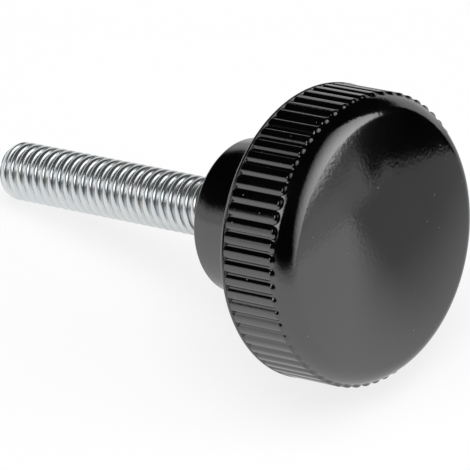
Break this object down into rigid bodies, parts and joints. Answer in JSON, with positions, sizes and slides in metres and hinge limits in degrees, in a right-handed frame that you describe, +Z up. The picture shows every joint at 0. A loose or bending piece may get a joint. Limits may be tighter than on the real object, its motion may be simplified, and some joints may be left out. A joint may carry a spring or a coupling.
{
  "type": "knurled clamping knob",
  "caption": "Knurled round clamping knob: glossy black moulded head with a plain boss and a straight threaded steel stud, turned by hand to clamp or adjust.",
  "frame": {"origin": "middle of the underside of the lying part's bounding box, on the table", "axes": "+Z up; the knob's axis lies in the XZ plane, with the stud towards -X and down, and the face towards +X and up"},
  "size_m": [0.0676, 0.038, 0.0388],
  "materials": {
    "phenolic": "glossy black moulding, slightly satin on the face",
    "zinc_steel": "bright zinc plating with a bluish tint"
  },
  "bodies": {
    "root": {"head": "phenolic", "stud": "zinc_steel"}
  },
  "joints": []
}
